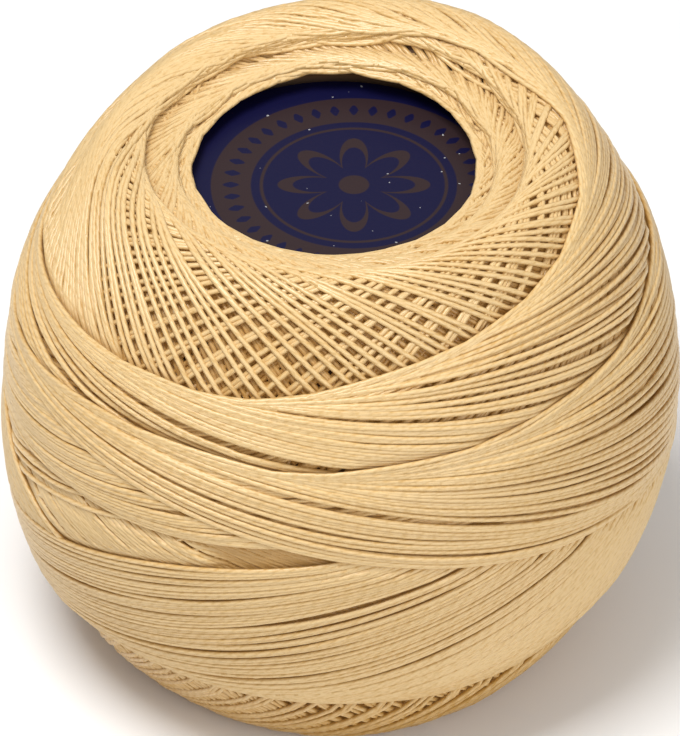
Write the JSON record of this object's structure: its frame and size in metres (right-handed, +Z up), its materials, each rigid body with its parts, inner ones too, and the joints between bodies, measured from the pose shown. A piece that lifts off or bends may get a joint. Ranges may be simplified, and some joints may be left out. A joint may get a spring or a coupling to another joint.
{
  "type": "ball of crochet thread",
  "caption": "Machine-wound ball of fine crochet thread, standing on its end, with crossing windings, a shallow hole in its upper end and a round card label held in the hole.",
  "frame": {"origin": "on the ball's axis, in the plane that its lower end stands on", "axes": "+Z up along the ball's axis, towards the end with the label; -Y is the front, the side that the picture shows"},
  "size_m": [0.0362, 0.0368, 0.0305],
  "materials": {
    "cotton_thread": "satin, mercerised cotton",
    "label_card": "satin printed card"
  },
  "bodies": {
    "root": {"thread_ball": "cotton_thread", "end_label": "label_card"}
  },
  "joints": []
}
